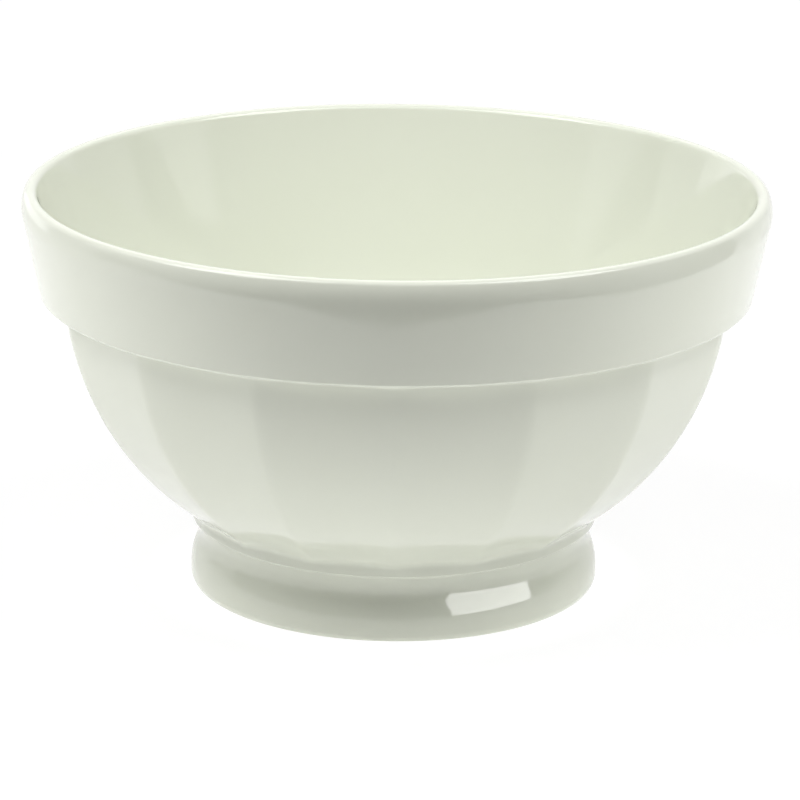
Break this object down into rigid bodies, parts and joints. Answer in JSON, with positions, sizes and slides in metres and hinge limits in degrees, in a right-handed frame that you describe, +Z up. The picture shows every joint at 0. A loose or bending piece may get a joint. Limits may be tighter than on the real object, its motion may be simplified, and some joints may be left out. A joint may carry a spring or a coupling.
{
  "type": "latte bowl",
  "caption": "Round footed bowl with a smooth collar set out over a faceted, rounded wall, and a luted foot ring, in white glazed porcelain.",
  "frame": {"origin": "centre of the standing ring, on the table", "axes": "+Z up along the bowl's axis; an edge between two facets faces -Y"},
  "size_m": [0.14, 0.14, 0.077],
  "materials": {
    "porcelain": "matt, bare fired clay",
    "slip": "matt, fired slip",
    "glaze": "glossy, white with a faint green-grey tint"
  },
  "bodies": {
    "root": {"bowl_body": "porcelain", "foot_ring": "porcelain", "slip_seam": "slip", "inner_glaze": "glaze", "outer_glaze": "glaze", "foot_well_glaze": "glaze"}
  },
  "joints": []
}
